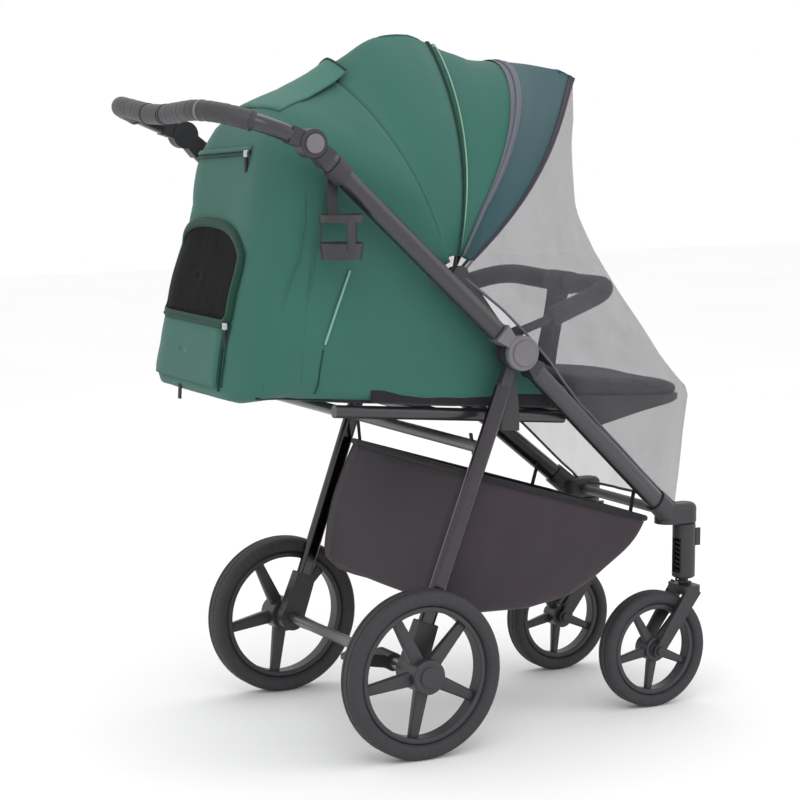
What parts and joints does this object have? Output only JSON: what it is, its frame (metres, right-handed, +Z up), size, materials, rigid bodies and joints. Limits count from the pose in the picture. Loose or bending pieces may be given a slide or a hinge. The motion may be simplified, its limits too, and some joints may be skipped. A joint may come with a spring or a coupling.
{
  "type": "pet stroller",
  "caption": "Four-wheeled folding pet stroller with a green cabin and hood, insect net, bumper bar, leg rest, under-seat basket, cup holder and swivelling front wheels.",
  "frame": {"origin": "on the floor under the middle of the overall length and width", "axes": "+X forward, +Y to the left, +Z up"},
  "size_m": [1.014, 0.6, 1.213],
  "materials": {
    "frame_black": "gloss",
    "rear_frame_dark": "satin metallic",
    "steel": "bare wire",
    "bow_strip": "matte",
    "black_plastic": "fine texture",
    "grey_plastic": "satin",
    "rim_plastic": "satin",
    "tyre": "moulded foam rubber",
    "grip_leather": "soft grain",
    "green_fabric": "woven",
    "teal_fabric": "mesh",
    "dark_fabric": "woven",
    "grey_fabric": "woven",
    "net_fabric": "fine net"
  },
  "bodies": {
    "base_frame": {"front_leg_left": "frame_black", "front_leg_right": "frame_black", "hub_base_left": "black_plastic", "hub_base_right": "black_plastic", "front_knuckle_left": "black_plastic", "front_knuckle_right": "black_plastic", "front_cross_tube": "frame_black", "seat_frame": "frame_black", "seat_cushion": "grey_fabric", "cabin_fabric": "green_fabric", "canopy_panel_rear": "green_fabric", "basket": "dark_fabric", "insect_net": "net_fabric"},
    "backrest": {"backrest_board": "black_plastic", "backrest_cushion": "grey_fabric"},
    "leg_rest": {"leg_rest_board": "black_plastic", "leg_rest_cushion": "grey_fabric"},
    "bumper": {"bumper_bar": "black_plastic", "bumper_grip": "grip_leather"},
    "bow_rear": {"canopy_bow_rear": "bow_strip", "canopy_panel_mid": "green_fabric"},
    "bow_mid": {"canopy_bow_mid": "bow_strip", "canopy_panel_front": "green_fabric"},
    "bow_front": {"canopy_bow_front": "bow_strip", "canopy_visor": "teal_fabric"},
    "push_frame": {"upper_tube_left": "frame_black", "upper_tube_right": "frame_black", "hub_covers": "grey_plastic", "handle_joint_lower": "black_plastic", "cup_holder_clamp": "black_plastic"},
    "handle": {"handle_bar": "frame_black", "handle_grip": "grip_leather", "handle_joint_upper": "black_plastic"},
    "button_left": {"handle_button_left": "grey_plastic"},
    "button_right": {"handle_button_right": "grey_plastic"},
    "trigger": {"fold_trigger": "grey_plastic"},
    "cup_cage": {"cup_holder": "black_plastic"},
    "rear_frame": {"rear_leg_left": "rear_frame_dark", "rear_leg_right": "rear_frame_dark", "rear_hub_arms": "black_plastic", "rear_housings": "black_plastic", "rear_axle": "rear_frame_dark", "rear_cross_bar": "grey_plastic"},
    "brake": {"brake_pedal": "black_plastic"},
    "rear_wheel_left": {"rear_rim_left": "rim_plastic", "rear_tyre_left": "tyre"},
    "caster_left": {"caster_housing_left": "black_plastic", "fork_spring_left": "steel"},
    "front_fork_left": {"fork_left": "black_plastic"},
    "front_wheel_left": {"front_rim_left": "rim_plastic", "front_tyre_left": "tyre"},
    "lock_left": {"swivel_lock_left": "grey_plastic"},
    "rear_wheel_right": {"rear_rim_right": "rim_plastic", "rear_tyre_right": "tyre"},
    "caster_right": {"caster_housing_right": "black_plastic", "fork_spring_right": "steel"},
    "front_fork_right": {"fork_right": "black_plastic"},
    "front_wheel_right": {"front_rim_right": "rim_plastic", "front_tyre_right": "tyre"},
    "lock_right": {"swivel_lock_right": "grey_plastic"}
  },
  "joints": [
    {"name": "fold", "type": "hinge", "parent": "base_frame", "child": "push_frame", "pos_m": [0.056, 0, 0.676], "axis": [0, 1, 0], "range_deg": [0, 135]},
    {"name": "rear_fold", "type": "hinge", "parent": "base_frame", "child": "rear_frame", "pos_m": [0.056, 0, 0.676], "axis": [0, 1, 0], "range_deg": [-30, 0]},
    {"name": "handle_tilt", "type": "hinge", "parent": "push_frame", "child": "handle", "pos_m": [-0.333, 0, 1.034], "axis": [0, -1, 0], "range_deg": [-30, 50]},
    {"name": "handle_button_press_left", "type": "slide", "parent": "handle", "child": "button_left", "axis": [0, -1, 0], "range_m": [0, 0.004], "stiffness_N_per_m": 400},
    {"name": "handle_button_press_right", "type": "slide", "parent": "handle", "child": "button_right", "axis": [0, 1, 0], "range_m": [0, 0.004], "stiffness_N_per_m": 400},
    {"name": "fold_trigger_twist", "type": "hinge", "parent": "handle", "child": "trigger", "pos_m": [-0.49, 0, 1.0767], "axis": [0, 1, 0], "range_deg": [0, 25], "stiffness_Nm_per_rad": 0.3},
    {"name": "cup_tilt", "type": "hinge", "parent": "push_frame", "child": "cup_cage", "pos_m": [-0.284, -0.23, 0.9889], "axis": [0, -1, 0], "range_deg": [-20, 4]},
    {"name": "brake_press", "type": "hinge", "parent": "rear_frame", "child": "brake", "pos_m": [-0.137, 0, 0.145], "axis": [0, -1, 0], "range_deg": [0, 25]},
    {"name": "rear_wheel_spin_left", "type": "hinge", "parent": "rear_frame", "child": "rear_wheel_left", "pos_m": [-0.137, 0.266, 0.145], "axis": [0, 1, 0], "continuous": true},
    {"name": "caster_swivel_left", "type": "hinge", "parent": "base_frame", "child": "caster_left", "pos_m": [0.469, 0.16, 0.333], "axis": [0, 0, 1], "continuous": true},
    {"name": "suspension_left", "type": "slide", "parent": "caster_left", "child": "front_fork_left", "axis": [0, 0, 1], "range_m": [0, 0.012], "stiffness_N_per_m": 4000, "springref_m": -0.02, "deforming": ["fork_spring_left"]},
    {"name": "front_wheel_spin_left", "type": "hinge", "parent": "front_fork_left", "child": "front_wheel_left", "pos_m": [0.401, 0.16, 0.106], "axis": [0, 1, 0], "continuous": true},
    {"name": "swivel_lock_lift_left", "type": "slide", "parent": "caster_left", "child": "lock_left", "axis": [0, 0, 1], "range_m": [0, 0.006]},
    {"name": "rear_wheel_spin_right", "type": "hinge", "parent": "rear_frame", "child": "rear_wheel_right", "pos_m": [-0.137, -0.266, 0.145], "axis": [0, 1, 0], "continuous": true},
    {"name": "caster_swivel_right", "type": "hinge", "parent": "base_frame", "child": "caster_right", "pos_m": [0.469, -0.16, 0.333], "axis": [0, 0, 1], "continuous": true},
    {"name": "suspension_right", "type": "slide", "parent": "caster_right", "child": "front_fork_right", "axis": [0, 0, 1], "range_m": [0, 0.012], "stiffness_N_per_m": 4000, "springref_m": -0.02, "deforming": ["fork_spring_right"]},
    {"name": "front_wheel_spin_right", "type": "hinge", "parent": "front_fork_right", "child": "front_wheel_right", "pos_m": [0.401, -0.16, 0.106], "axis": [0, 1, 0], "continuous": true},
    {"name": "swivel_lock_lift_right", "type": "slide", "parent": "caster_right", "child": "lock_right", "axis": [0, 0, 1], "range_m": [0, 0.006]},
    {"name": "recline", "type": "hinge", "parent": "base_frame", "child": "backrest", "pos_m": [-0.012, 0, 0.592], "axis": [0, 1, 0], "range_deg": [0, 55]},
    {"name": "leg_rest_drop", "type": "hinge", "parent": "base_frame", "child": "leg_rest", "pos_m": [0.24, 0, 0.574], "axis": [0, 1, 0], "range_deg": [0, 65]},
    {"name": "bumper_slide", "type": "slide", "parent": "base_frame", "child": "bumper", "axis": [0.956, 0, 0.2935], "range_m": [0, 0.08]},
    {"name": "canopy_fold", "type": "hinge", "parent": "base_frame", "child": "bow_rear", "pos_m": [-0.044, 0, 0.81], "axis": [0, -1, 0], "range_deg": [0, 20], "deforming": ["insect_net"]},
    {"name": "canopy_fold_mid", "type": "hinge", "parent": "bow_rear", "child": "bow_mid", "pos_m": [-0.044, 0, 0.81], "axis": [0, -1, 0], "range_deg": [0, 18]},
    {"name": "canopy_fold_front", "type": "hinge", "parent": "bow_mid", "child": "bow_front", "pos_m": [-0.044, 0, 0.81], "axis": [0, -1, 0], "range_deg": [0, 14]}
  ],
  "couplings": [
    {"joint": "rear_fold", "follows": "fold", "ratio": -0.22222},
    {"joint": "canopy_fold_mid", "follows": "canopy_fold", "ratio": 0.9},
    {"joint": "canopy_fold_front", "follows": "canopy_fold", "ratio": 0.7}
  ]
}
